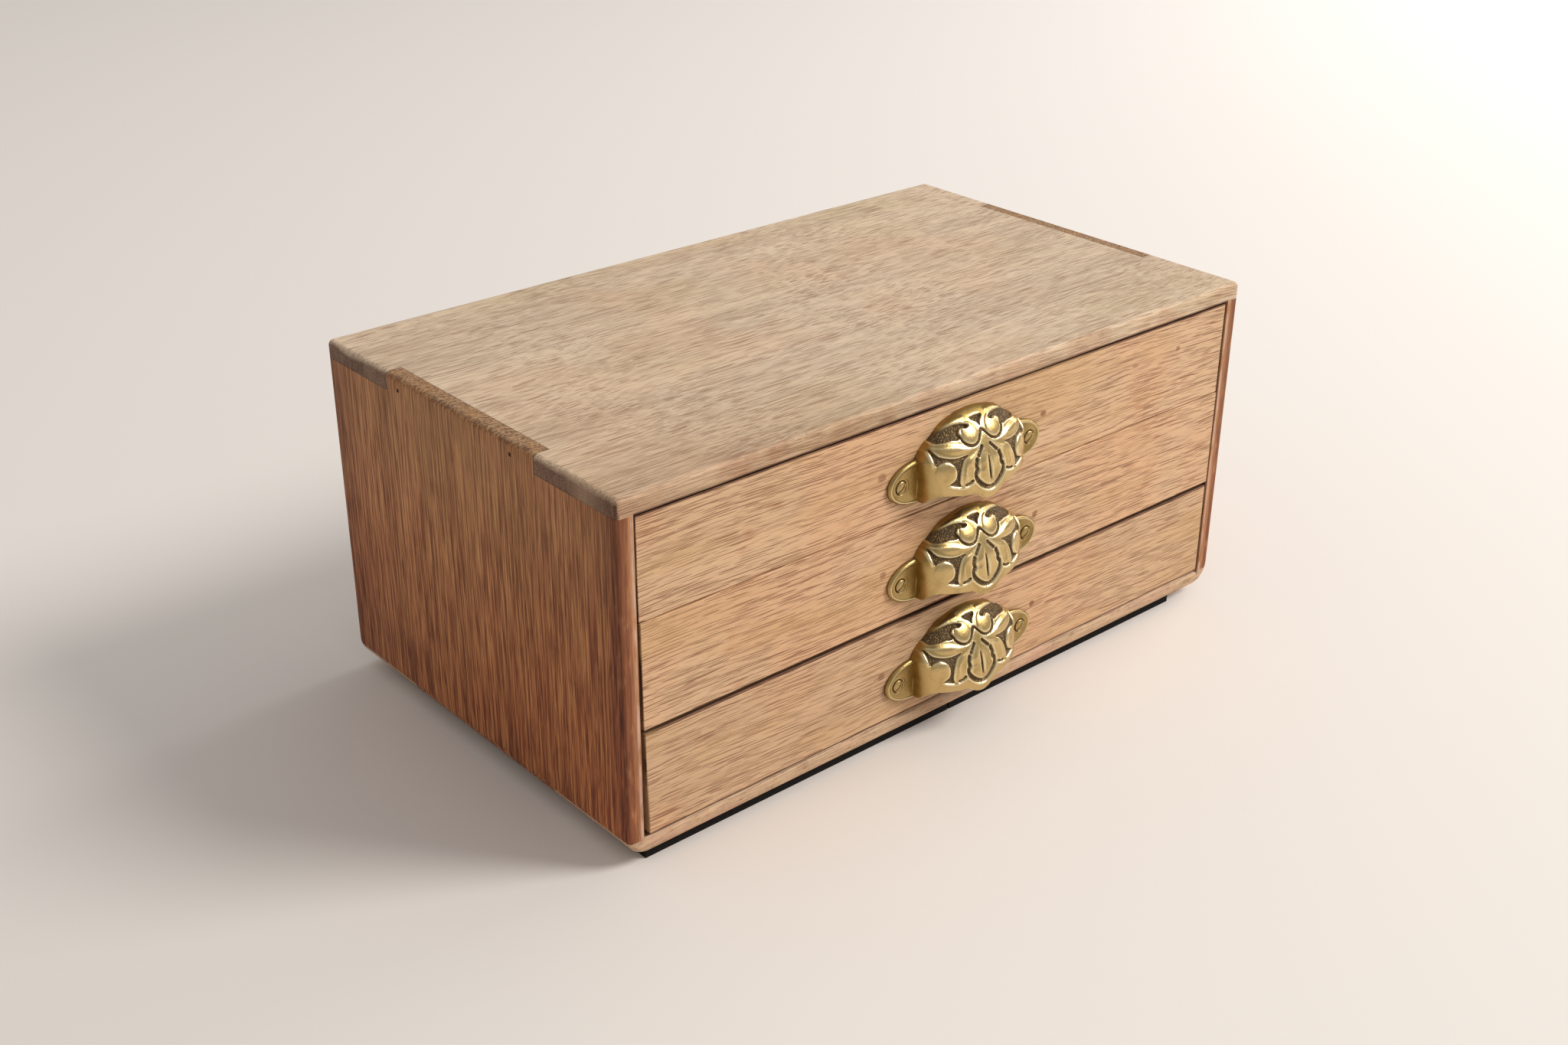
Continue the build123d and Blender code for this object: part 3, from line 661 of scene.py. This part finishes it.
class Timber:
    """An open-pored hardwood in object coordinates: broad and fine figure drawn out along the
    grain, and pores that are short dark dashes along it and dots on the end grain. Its other
    settings are how many pores it has, how patchy its tone is, the contrast of its figure, the
    colour of its pores, and how far the grain slopes."""

    MIDDLE, DARK, WARM, PORE = (0.84,) * 3, (0.66, 0.58, 0.50), (1.0, 0.84, 0.76), (0.3, 0.2, 0.14)

    def __init__(self, name, grain, light, seed, pores=1.0, patchy=1.0, contrast=1.0,
                 pore_tone=None, slope=0.0):
        self.shader = shader = Shader(name, roughness=0.6, specular=0.35)
        self.place = shader.place()
        self.x, self.y, self.z = shader.axes(self.place)
        along, across, deep = {"X": (self.x, self.z, self.y), "Y": (self.y, self.x, self.z),
                               "Z": (self.z, self.y, self.x)}[grain]
        across = across + (shader.blotches(self.place, 9, 1.0) - 0.5) * 0.006 + along * slope

        def streaks(length, breadth, depth, detail, roughness=0.5, shift=0):
            """Noise with so many features to a metre along the grain, across it and deep."""
            return shader.noise(shader.vector(along * length + (seed + shift), across * breadth,
                                              deep * depth), detail, roughness)

        broad = streaks(3, 38, 38, 3.0, 0.55)
        figure = streaks(13, 760, 560, 3.0, 0.6)
        fibre = streaks(40, 2300, 2300, 1.0)
        shade = broad * 0.40 + figure * 0.29 + fibre * 0.31
        colour = shader.tones(shade, [(0.5 - 0.17 / contrast, tinted(light, self.DARK)),
                                      (0.5 - 0.04 / contrast, tinted(light, self.MIDDLE)),
                                      (0.5 + 0.07 / contrast, tuple(light))])
        cloud = shader.blotches(self.place, 15, shift=(seed, 0, 0)).ramp(0.46, 0.66)
        colour = shader.mix(cloud * 0.6 * patchy, colour,
                            shader.mix(0.5, colour, tinted(light, self.WARM)))
        crowd = streaks(14, 90, 90, 2.0).ramp(0.3, 0.7)
        full = 0.655 - crowd * 0.08 * pores
        long_pore = (streaks(52, 2250, 2250, 0.0) - full).ramp(0.0, 0.055)
        short_pore = (streaks(95, 2900, 2900, 0.0, shift=9) - full).ramp(0.0, 0.06)
        pore = long_pore.most(short_pore * 0.7)
        self.colour = shader.mix(pore * 0.72, colour, pore_tone or tinted(light, self.PORE))
        self.height = figure * 0.12 + fibre * 0.2 - pore * 0.6
        self.gloss = 0.50 + fibre * 0.12 + pore * 0.2

    def blotches(self, scale, detail=2.0, roughness=0.5, shift=None):
        """Noise over the wood, with the scale in features to a metre."""
        return self.shader.blotches(self.place, scale, detail, roughness, shift)

    def paint(self, mask, colour):
        """Lays a colour over the wood, as thickly as the mask says."""
        self.colour = self.shader.mix(mask, self.colour, colour)

    def darken(self, mask, tint):
        """Multiplies the wood's colour by a tint, as far as the mask says."""
        self.colour = self.shader.mix(mask, self.colour, tint, blend="MULTIPLY")

    def finish(self, pore_depth=0.22 * MM):
        """The wood's material, with its fibres and pores standing out or sunk in its surface."""
        return self.shader.finish(self.colour, self.gloss,
                                  self.shader.bump(self.height, pore_depth))


def case_timber(name, grain, light, seed, **options):
    """Case wood, with dark joint lines, worn pale front edges, near-black painted shade inside the
    drawers' opening near the front, and darker corners along the floor."""
    wood = Timber(name, grain, light, seed, **options)
    side = abs(wood.x)
    ragged, rough_line = wood.blotches(260), wood.blotches(90, 1.0)
    at_middle = between(wood.y, *TAB_Y, 0.2 * MM)
    seam = near(side, INNER_X, 0.5 * MM) * at_middle * wood.z.ramp(TOP_UNDER, TOP_UNDER + 2 * MM)
    tab_ends = near(wood.y, TAB_Y[0], 0.6 * MM).most(near(wood.y, TAB_Y[1], 0.6 * MM))
    tab_ends *= side.ramp(INNER_X - 0.3 * MM, INNER_X)
    tab_ends *= wood.z.ramp(TOP_UNDER - 4 * MM, TOP_UNDER - 2 * MM)
    under = near(wood.z, TOP_UNDER, 0.6 * MM) * (1 - at_middle)
    under *= side.ramp(CASE_HIGH.x - 1.5 * MM, CASE_HIGH.x - 0.5 * MM)
    joint = seam.most(tab_ends).most(under * 0.8)
    wood.darken(joint * (0.55 + rough_line * 0.4), (0.12, 0.07, 0.05))

    worn = 1 - (wood.y + ragged * (1.2 * MM)).ramp(FRONT_Y + 0.6 * MM, FRONT_Y + 3 * MM)
    arris = near(wood.z, CASE_HIGH.z - 0.8 * MM, 2.6 * MM).most(
        1 - wood.z.ramp(FLOOR_TOP - MM, FLOOR_TOP + MM))
    wood.paint(worn * arris * ragged.ramp(0.3, 0.6) * 0.6, tone(226, 194, 160))

    # Painted shade: the case's insides near the front, where the gaps round the drawers show them,
    # darkened nearly black.
    opening = between(wood.z, FLOOR_TOP - 0.4 * MM, TOP_UNDER + 0.5 * MM, 0.2 * MM) * (
        1 - side.ramp(INNER_X, INNER_X + 0.3 * MM))
    shaded_mouth = between(wood.y, FRONT_Y + 1.2 * MM, FRONT_Y + 45 * MM, 1.2 * MM)
    wood.darken(opening * shaded_mouth * 0.97, (0.10, 0.06, 0.05))
    corner = (1 - wood.z.ramp(4 * MM, 16 * MM)) * ragged.ramp(0.35, 0.7)
    wood.darken(corner * 0.5, (0.5, 0.38, 0.3))
    return wood


def top_wood(colours):
    """The top board: dark end grain at both ends, a front edge a little grimier than the top,
    painted shade on its underside over the drawers, darker toward the front-left, and soft pale and
    greenish patches."""
    wood = case_timber("wood_case_top", "X", colours.top, 3.0, pores=0.8, slope=0.03,
                       pore_tone=tone(152, 112, 84))
    shader = wood.shader
    grime = wood.blotches((60, 45, 60), 3.0)
    rays = shader.noise(shader.vector(0.0, wood.y * 950, wood.z * 60), 1.0)
    worn = near(wood.z + (grime - 0.5) * (4 * MM), CASE_HIGH.z, 2.6 * MM)
    end = abs(wood.x).ramp(CASE_HIGH.x - 1.2 * MM, CASE_HIGH.x - 0.4 * MM) * (1 - worn)
    wood.darken(end * (0.8 + grime * 0.3), (0.30, 0.20, 0.16))
    wood.darken(end * rays.ramp(0.5, 0.6) * 0.5, (0.55, 0.5, 0.5))
    front = 1 - wood.y.ramp(FRONT_Y + 0.4 * MM, FRONT_Y + 2 * MM)
    wood.darken(front * grime.ramp(0.35, 0.6) * 0.6, (0.80, 0.64, 0.56))
    # Painted shade: the top's underside near the front, over the drawers, where it shows in the gap
    # above the top drawer.
    shade_over_drawers = (1 - wood.z.ramp(TOP_UNDER + 0.2 * MM, TOP_UNDER + MM)) * (
        1 - abs(wood.x).ramp(INNER_X - 0.5 * MM, INNER_X + 0.5 * MM))
    shade_over_drawers *= 1 - wood.y.ramp(FRONT_Y + 30 * MM, FRONT_Y + 50 * MM)
    wood.darken(shade_over_drawers * 0.9, (0.22, 0.13, 0.10))
    # Darker toward the front-left.
    toward_front_left = (1 - wood.x.ramp(-CASE_HIGH.x, 30 * MM)) * (
        1 - wood.y.ramp(FRONT_Y, FRONT_Y + 100 * MM))
    wood.darken(toward_front_left * 0.75, (0.86, 0.76, 0.68))
    pale = wood.blotches((10, 22, 10), 3.0, 0.6)
    wood.paint(pale.ramp(0.5, 0.75) * 0.35, tone(214, 182, 142))
    green = wood.blotches((8, 14, 8), shift=(4, 2, 0))
    wood.darken(green.ramp(0.52, 0.72) * 0.35, (0.86, 0.84, 0.68))
    return wood.finish()


def side_wood(colours, side):
    """One of the case's sides: streaked along its grain, darker and redder toward the floor and
    the front, with the end grain of the middle tab on top, and a front edge worn pale along the
    opening."""
    # Painted shade: the left side takes a darker, redder tone than the right side.
    light, seed = {"left": (colours.side, 11.0), "right": (colours.right_side, 14.0)}[side]
    wood = case_timber(f"wood_case_{side}", "Z", light, seed, pores=1.5, contrast=2.0)
    shader = wood.shader
    ragged = wood.blotches((300, 300, 90))
    on_end = wood.z.ramp(CASE_HIGH.z - 1.2 * MM, CASE_HIGH.z - 0.5 * MM)
    rings = shader.noise(shader.vector(wood.x * 120, wood.y * 900 + wood.x * 350, 0.0), 1.0)
    wood.paint(on_end * 0.9, shader.tones(rings, [(0.42, tone(104, 80, 62)),
                                                  (0.58, tone(184, 152, 120))]))

    stripe = shader.noise(shader.vector(wood.y * 48, 0.5, wood.z * 3.0))
    gold = between(wood.y, FRONT_Y + 60 * MM, FRONT_Y + 150 * MM, 30 * MM) * wood.z.ramp(
        20 * MM, 120 * MM)
    wood.paint(gold * stripe.ramp(0.42, 0.62) * 0.35, tone(206, 154, 96))
    streak = wood.blotches((850, 850, 26), roughness=0.6)
    wood.darken(streak.ramp(0.5, 0.6) * 0.9, (0.52, 0.38, 0.29))
    wood.paint((1 - streak.ramp(0.38, 0.48)) * 0.5, tone(222, 166, 104))
    wood.darken((1 - wood.z.ramp(20 * MM, 130 * MM)) * 0.6, (0.86, 0.66, 0.50))
    wood.darken(stripe.ramp(0.5, 0.66) * 0.4, (0.74, 0.56, 0.48))
    umber = wood.z.ramp(90 * MM, 150 * MM) * (
        1 - wood.y.ramp(FRONT_Y + 10 * MM, FRONT_Y + 30 * MM) * 0.3)
    wood.paint(umber * 0.4, tone(164, 124, 82))
    wood.darken(wood.y.ramp(CASE_HIGH.y - 30 * MM, CASE_HIGH.y) * 0.7, (0.62, 0.48, 0.42))
    near_front = 1 - wood.y.ramp(FRONT_Y + 4 * MM, FRONT_Y + 40 * MM)
    wood.darken(near_front * 0.5, (0.84, 0.62, 0.52))

    face = 1 - wood.y.ramp(FRONT_Y + 0.3 * MM, FRONT_Y + 1.6 * MM)
    wood.paint(face * 0.5, tone(184, 132, 94))
    outer = abs(wood.x).ramp(CASE_HIGH.x - 5.8 * MM, CASE_HIGH.x - 3.2 * MM) * (
        1 - wood.y.ramp(FRONT_Y + 2 * MM, FRONT_Y + 10 * MM))
    wood.darken(outer * ragged.ramp(0.2, 0.5) * 0.9, (0.52, 0.36, 0.29))
    inner = near(abs(wood.x), INNER_X + 0.8 * MM, 1.3 * MM) * face
    wood.paint(inner * ragged.ramp(0.3, 0.6) * 0.6, tone(226, 192, 168))
    return wood.finish()


def bottom_wood(colours):
    """The bottom board, with a reddish blush."""
    wood = case_timber("wood_case_bottom", "X", tinted(colours.front, (0.92,) * 3), 19.0,
                       pores=0.8)
    blush = wood.blotches((22, 80, 80))
    wood.paint(blush.ramp(0.45, 0.7) * 0.5, tone(206, 152, 128))
    return wood.finish()


# Old screw holes and flecks on the fronts, as (x, z, half length, half height, strength), in mm
# from the middle of the drawer's pull.
FRONT_SPOTS = {
    "top": [(48.5, 7.9, 2.3, 1.6, 0.85), (-47.6, 6.3, 2.8, 2.4, 0.6), (139, 15, 2.0, 1.4, 0.7),
            (109, 14, 2.6, 0.8, 0.5), (25, 22, 1.8, 0.6, 0.4)],
    "middle": [(45.6, 6.2, 2.0, 1.8, 0.8), (-47.0, 7.3, 2.2, 2.0, 0.6)],
    "bottom": [(47.3, 8.1, 2.0, 1.8, 0.8), (-46.7, 6.2, 2.4, 2.0, 0.6)],
}
# Heights in mm of the painted shade lines along each front's upper and lower edge, where it has
# one.
GAP_SHADE_LINES = {"top": (0.6, 0), "middle": (0, 0.5), "bottom": (0.9, 0.3)}


def front_wood(colours, drawer, seed):
    """A drawer front: grime and painted shade along its edges, with none where the top and middle
    drawers meet, near-black painted shade along its gaps and at its left end, golden patches,
    reddish flecks and old holes by the pull."""
    low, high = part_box(f"drawer_{drawer}_front")
    wood = Timber(f"wood_front_{drawer}", "X", colours.front, seed, pores=0.55, patchy=1.5,
                  contrast=0.72, pore_tone=tone(128, 74, 46), slope=0.02)
    shader = wood.shader
    ragged = wood.blotches(300)
    from_left, above, below = wood.x - low.x, high.z - wood.z, wood.z - low.z
    shaded_gaps = [(reach, height * MM) for reach, height in zip((above, below), GAP_SHADE_LINES[drawer])
            if height]
    edge = from_left.least(high.x - wood.x)
    for reach, _ in shaded_gaps:
        edge = edge.least(reach)
    # Grime and painted shade along the front's edges.
    wood.darken((1 - (edge + ragged * MM).ramp(0.3 * MM, 1.4 * MM)) * 0.35, (0.55, 0.38, 0.28))
    on_face = 1 - wood.y.ramp(low.y + 2 * MM, low.y + 5 * MM) * 0.85
    # Painted shade: dark lines along the gaps above and below the front.
    for reach, height in shaded_gaps:
        line = 1 - (reach - ragged * (0.4 * MM)).ramp(height * 0.6, height)
        wood.darken(line * on_face * 0.9, (0.26, 0.15, 0.11))
    # Painted shade: the front's edges behind its face, in the gaps, darkened nearly black.
    gap_shade_behind_face = wood.y.ramp(low.y + 0.2 * MM, low.y + 0.8 * MM) * on_face
    wood.darken((1 - edge.ramp(0.2 * MM, 0.5 * MM)) * gap_shade_behind_face * 0.96, (0.12, 0.07, 0.05))
    # Painted shade in the gap at the front's left end.
    left = 1 - (from_left - ragged * (0.3 * MM)).ramp(0.2 * MM, 0.6 * MM)
    wood.darken(left * on_face * 0.95, (0.14, 0.08, 0.06))
    # Painted shade: a dark nick at the lower left of the top front, where the joint with the middle
    # front shows.
    if drawer == "top":
        gap_shade_nick = (1 - from_left.ramp(2 * MM, 4.5 * MM)) * (1 - below.ramp(0.5 * MM, 0.9 * MM))
        wood.darken(gap_shade_nick * 0.9, (0.16, 0.09, 0.07))

    golden = shader.noise(shader.vector(wood.x * 9 + seed, wood.y, wood.z * 40), 3.0)
    wood.paint(golden.ramp(0.46, 0.64) * 0.4, tone(206, 164, 112))
    fleck = 1 - shader.cells(shader.vector(wood.x * 60 + seed, 0.0, wood.z * 210)).ramp(0.05, 0.28)
    wood.darken(fleck * wood.blotches(24, 1.0).ramp(0.5, 0.62) * 0.5, (0.72, 0.42, 0.32))
    spread = wood.blotches(420)
    middle = pull_middle(drawer)
    for x, z, half_length, half_height, strength in FRONT_SPOTS[drawer]:
        reach = (((wood.x - (middle[0] + x * MM)) / (half_length * MM)) ** 2
                 + ((wood.z - (middle[2] + z * MM)) / (half_height * MM)) ** 2)
        wood.darken((1 - (reach + spread * 0.9).ramp(0.7, 1.6)) * strength, (0.42, 0.26, 0.2))
    inside = wood.y.ramp(high.y - 11.5 * MM, high.y - 10.5 * MM)
    wood.paint(inside * 0.35, tone(196, 158, 116))
    return wood.finish()


def inner_wood(colours, name, grain, seed, light=1.0, pores=0.7):
    """Bare planed wood inside: drawer sides, backs, bottoms and runners."""
    wood = Timber(name, grain, tinted(colours.inside, (light,) * 3), seed, pores=pores,
                  patchy=0.8)
    return wood.finish(0.14 * MM)


def brass(name, colours, dark, rough):
    """Old polished brass: bright on crests and edges, where the palest colour is in part a painted
    highlight, brown where grime fills the hollows, whose ground is punched. The attributes relief
    and edge carry the casting's height and the sharpness of its edges, and shaded says how little a
    hand or a cloth reaches a place; on the cup's walls near the wood it also stands for painted
    shade."""
    shader = Shader(name, roughness=rough, metallic=1.0, specular=0.5)
    place = shader.place()
    height, edge, shaded = (shader.attribute(key) for key in ("relief", "edge", "shaded"))
    fine = shader.blotches(place, 900, 3.0, 0.6)
    grains = shader.cells(shader.scaled(place, (1150,) * 3))
    hollow = (0.0 - height).ramp(0.35, 0.75)
    grime = (0.0 - height - edge * 0.9 + (fine - 0.5) * 0.30).ramp(0.06, 0.52)
    film = shader.blotches(place, 110).ramp(0.42, 0.72) * (1 - edge.ramp(0.02, 0.2))
    punched = hollow * (1 - grains.ramp(0.18, 0.42))
    # Aged tone where shaded is high; on the cup's walls near the wood this is painted shade.
    colour = shader.mix((film * 0.5 + shaded * 0.75).least(0.92) + dark, tuple(colours.brass),
                        tinted(colours.brass, (0.48, 0.45, 0.30)))
    # Pale colour on edges: polished crests, and in part a painted highlight.
    colour = shader.mix(edge.ramp(0.02, 0.22) * 0.6, colour, tone(250, 234, 190))
    colour = shader.mix(grime * 0.88, colour, tone(60, 40, 20))
    colour = shader.mix(punched * 0.8, colour, tone(186, 146, 84))
    roughness = rough + film * 0.10 + shaded * 0.08 + grime * 0.30 + (fine - 0.5) * 0.12
    metal = (1 - grime * 0.7 + punched * 0.5).least(1.0)
    normal = shader.bump(fine * 0.5 + hollow * (1 - grains) * 2.0, 0.16 * MM)
    return shader.finish(colour, roughness, normal, metal)


def steel():
    """The brads' dark steel, with rust in spots."""
    shader = Shader("steel_old_brads", roughness=0.6, metallic=0.7)
    rust = shader.blotches(shader.place(), 1400, 3.0)
    colour = shader.tones(rust, [(0.4, tone(28, 22, 20)), (0.65, tone(74, 44, 28))])
    return shader.finish(colour, 0.5 + rust * 0.3, shader.bump(rust, 0.08 * MM))


def felt():
    """Pressed black felt, whose black is painted shadow: it stands in for the shadow under the
    case.
    """
    shader = Shader("felt_black_painted_shadow", roughness=0.95, specular=0.1)
    fibre = shader.blotches(shader.place(), 2600, 4.0, 0.7)
    colour = shader.tones(fibre, [(0.35, tone(12, 11, 11)), (0.7, tone(44, 40, 38))])
    return shader.finish(colour, 0.85 + fibre * 0.12, shader.bump(fibre, 0.3 * MM))


def dress(nodes, material):
    """Gives CAD pieces a material in place of their plain one."""
    for name in nodes:
        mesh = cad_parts[name].data
        mesh.materials.clear()
        mesh.materials.append(material)


# ---------------------------------------------------------------- operators


class CHEST_OT_case(bpy.types.Operator):
    """Finish the case's boards, its back, its brads and the felt under it"""

    bl_idname = "chest.case"
    bl_label = "Finish the case"

    def execute(self, context):
        colours = context.scene.chest_colours
        dress(["top_board"], top_wood(colours))
        for side in ("left", "right"):
            dress([f"{side}_side"], side_wood(colours, side))
        dress(["bottom_board"], bottom_wood(colours))
        dress(["back_panel"], inner_wood(colours, "wood_back_panel", "X", 23.0, 0.8))
        dress(["corner_brads", "back_brads", "runner_brads"], steel())
        dress([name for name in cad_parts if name.startswith("foot_")], felt())
        return {"FINISHED"}


class CHEST_OT_drawers(bpy.types.Operator):
    """Finish the drawers, their fronts and the runners they slide on"""

    bl_idname = "chest.drawers"
    bl_label = "Finish the drawers"

    def execute(self, context):
        colours = context.scene.chest_colours
        sides = inner_wood(colours, "wood_drawer_sides", "Y", 31.0)
        backs = inner_wood(colours, "wood_drawer_backs", "X", 37.0)
        bottoms = inner_wood(colours, "wood_drawer_bottoms", "X", 41.0, 0.9, pores=0.5)
        dress([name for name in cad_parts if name.startswith("runner_")
               and name != "runner_brads"], inner_wood(colours, "wood_runners", "Y", 43.0, 0.75))
        for number, drawer in enumerate(DRAWERS):
            dress([f"drawer_{drawer}_front"], front_wood(colours, drawer, 51.0 + 7 * number))
            dress([f"drawer_{drawer}_left_side", f"drawer_{drawer}_right_side"], sides)
            dress([f"drawer_{drawer}_back"], backs)
            dress([f"drawer_{drawer}_bottom"], bottoms)
            dress([f"drawer_{drawer}_brads"], bpy.data.materials["steel_old_brads"])
        return {"FINISHED"}


class CHEST_OT_pulls(bpy.types.Operator):
    """Make the cast cup pulls with their foliage, and seat them on the fronts"""

    bl_idname = "chest.pulls"
    bl_label = "Make the cup pulls"

    def execute(self, context):
        sizes = context.scene.chest_sizes
        material = brass("brass_cast", context.scene.chest_colours, 0.0, 0.24)
        points, faces, attributes = joined([cup_mesh(sizes), lug_mesh(-1, sizes),
                                            lug_mesh(1, sizes)])
        for drawer in DRAWERS:
            piece = new_piece(f"cast_pull_{drawer}", seated(points, drawer), faces, attributes)
            piece.data.materials.append(material)
            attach(piece, f"drawer_{drawer}")
            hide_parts(f"cup_pull_{drawer}")
        return {"FINISHED"}


class CHEST_OT_screws(bpy.types.Operator):
    """Make the slotted screws of the pulls"""

    bl_idname = "chest.screws"
    bl_label = "Make the pulls' screws"

    def execute(self, context):
        turn = context.scene.chest_sizes.slot_turn
        material = brass("brass_screws", context.scene.chest_colours, 0.25, 0.34)
        points, faces, attributes = joined([screw_mesh(side * SCREW_SPACING / 2, turn)
                                            for side in (-1, 1)])
        for drawer in DRAWERS:
            piece = new_piece(f"slotted_screws_{drawer}", seated(points, drawer), faces,
                              attributes)
            piece.data.materials.append(material)
            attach(piece, f"drawer_{drawer}")
            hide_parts(f"pull_screws_{drawer}")
        return {"FINISHED"}


CAMERA_PLACE = (-0.53337, -0.59281, 0.45881)
CAMERA_ANGLES = (-41.03, 26.67, 0.28)  # azimuth, elevation and roll, in degrees
CAMERA_LENS, CAMERA_SENSOR = 43.74, 36.0  # mm
FLOOR_SPAN = 40.0
# Each lamp's name, place, size in metres, power in watts and colour.
LAMPS = (("key", (2.2, -2.05, 2.5), 1.6, 108.0, (1.0, 0.98, 0.955)),
         ("window", (2.6, 0.15, 0.95), 1.3, 24.0, (0.96, 0.985, 1.0)))
WORLD_COLOUR, WORLD_STRENGTH = (1.0, 0.985, 0.97, 1.0), 0.47


class CHEST_OT_stage(bpy.types.Operator):
    """Set up the camera, the soft light and the pale floor"""

    bl_idname = "chest.stage"
    bl_label = "Set up the stage"

    def execute(self, context):
        self.camera(context)
        self.floor(context)
        for lamp in LAMPS:
            self.light(context, *lamp)
        self.world(context)
        context.scene.view_settings.view_transform = "Standard"
        return {"FINISHED"}

    @staticmethod
    def camera(context):
        """A camera that looks back along its azimuth and elevation, turned by its roll."""
        azimuth, elevation, roll = (math.radians(angle) for angle in CAMERA_ANGLES)
        back = Vector((math.sin(azimuth) * math.cos(elevation),
                       -math.cos(azimuth) * math.cos(elevation), math.sin(elevation)))
        level = Vector((math.cos(azimuth), math.sin(azimuth), 0))
        up = back.cross(level)
        right = level * math.cos(roll) + up * math.sin(roll)
        up = back.cross(right)
        data = bpy.data.cameras.new("camera")
        data.lens, data.sensor_width = CAMERA_LENS, CAMERA_SENSOR
        data.clip_start, data.clip_end = 0.02, 60.0
        camera = bpy.data.objects.new("camera", data)
        camera.matrix_world = Matrix.Translation(CAMERA_PLACE) @ Matrix(
            (right, up, back)).transposed().to_4x4()
        context.scene.collection.objects.link(camera)
        context.scene.camera = camera

    @staticmethod
    def floor(context):
        half = FLOOR_SPAN / 2
        corners = [(-half, -half, 0), (half, -half, 0), (half, half, 0), (-half, half, 0)]
        mesh = bpy.data.meshes.new("floor")
        mesh.from_pydata(corners, [], [(0, 1, 2, 3)])
        floor = bpy.data.objects.new("floor", mesh)
        context.scene.collection.objects.link(floor)
        shader = Shader("floor_pale", roughness=0.85, specular=0.2)
        shader.surface.inputs["Base Color"].default_value = (*context.scene.chest_colours.floor, 1)
        mesh.materials.append(shader.material)

    @staticmethod
    def light(context, name, place, size, power, colour):
        data = bpy.data.lights.new(name, "AREA")
        data.shape, data.size, data.energy, data.color = "DISK", size, power, colour
        lamp = bpy.data.objects.new(name, data)
        lamp.matrix_world = Matrix.Translation(place) @ Vector(place).to_track_quat(
            "Z", "Y").to_matrix().to_4x4()
        context.scene.collection.objects.link(lamp)

    @staticmethod
    def world(context):
        world = bpy.data.worlds.new("studio")
        world.use_nodes = True
        background = world.node_tree.nodes["Background"]
        background.inputs["Color"].default_value = WORLD_COLOUR
        background.inputs["Strength"].default_value = WORLD_STRENGTH
        context.scene.world = world


class CHEST_PT_panel(bpy.types.Panel):
    """The chest's steps and settings"""

    bl_label = "Paint Chest"
    bl_idname = "CHEST_PT_panel"
    bl_space_type = "VIEW_3D"
    bl_region_type = "UI"
    bl_category = "Paint Chest"

    def draw(self, context):
        for group in (context.scene.chest_sizes, context.scene.chest_colours):
            column = self.layout.column()
            for key in group.__annotations__:
                column.prop(group, key)
        for operator in OPERATORS:
            self.layout.operator(operator.bl_idname)


OPERATORS = (CHEST_OT_case, CHEST_OT_drawers, CHEST_OT_pulls, CHEST_OT_screws, CHEST_OT_stage)
GROUPS = {"chest_sizes": ChestSizes, "chest_colours": ChestColours}


def register():
    for kind in (*GROUPS.values(), *OPERATORS, CHEST_PT_panel):
        bpy.utils.register_class(kind)
    for key, group in GROUPS.items():
        setattr(bpy.types.Scene, key, bpy.props.PointerProperty(type=group))


def unregister():
    for key in GROUPS:
        delattr(bpy.types.Scene, key)
    for kind in (CHEST_PT_panel, *reversed(OPERATORS), *GROUPS.values()):
        bpy.utils.unregister_class(kind)


def main():
    register()
    bpy.ops.chest.case()
    bpy.ops.chest.drawers()
    bpy.ops.chest.pulls()
    bpy.ops.chest.screws()
    bpy.ops.chest.stage()


if __name__ == "__main__":
    main()
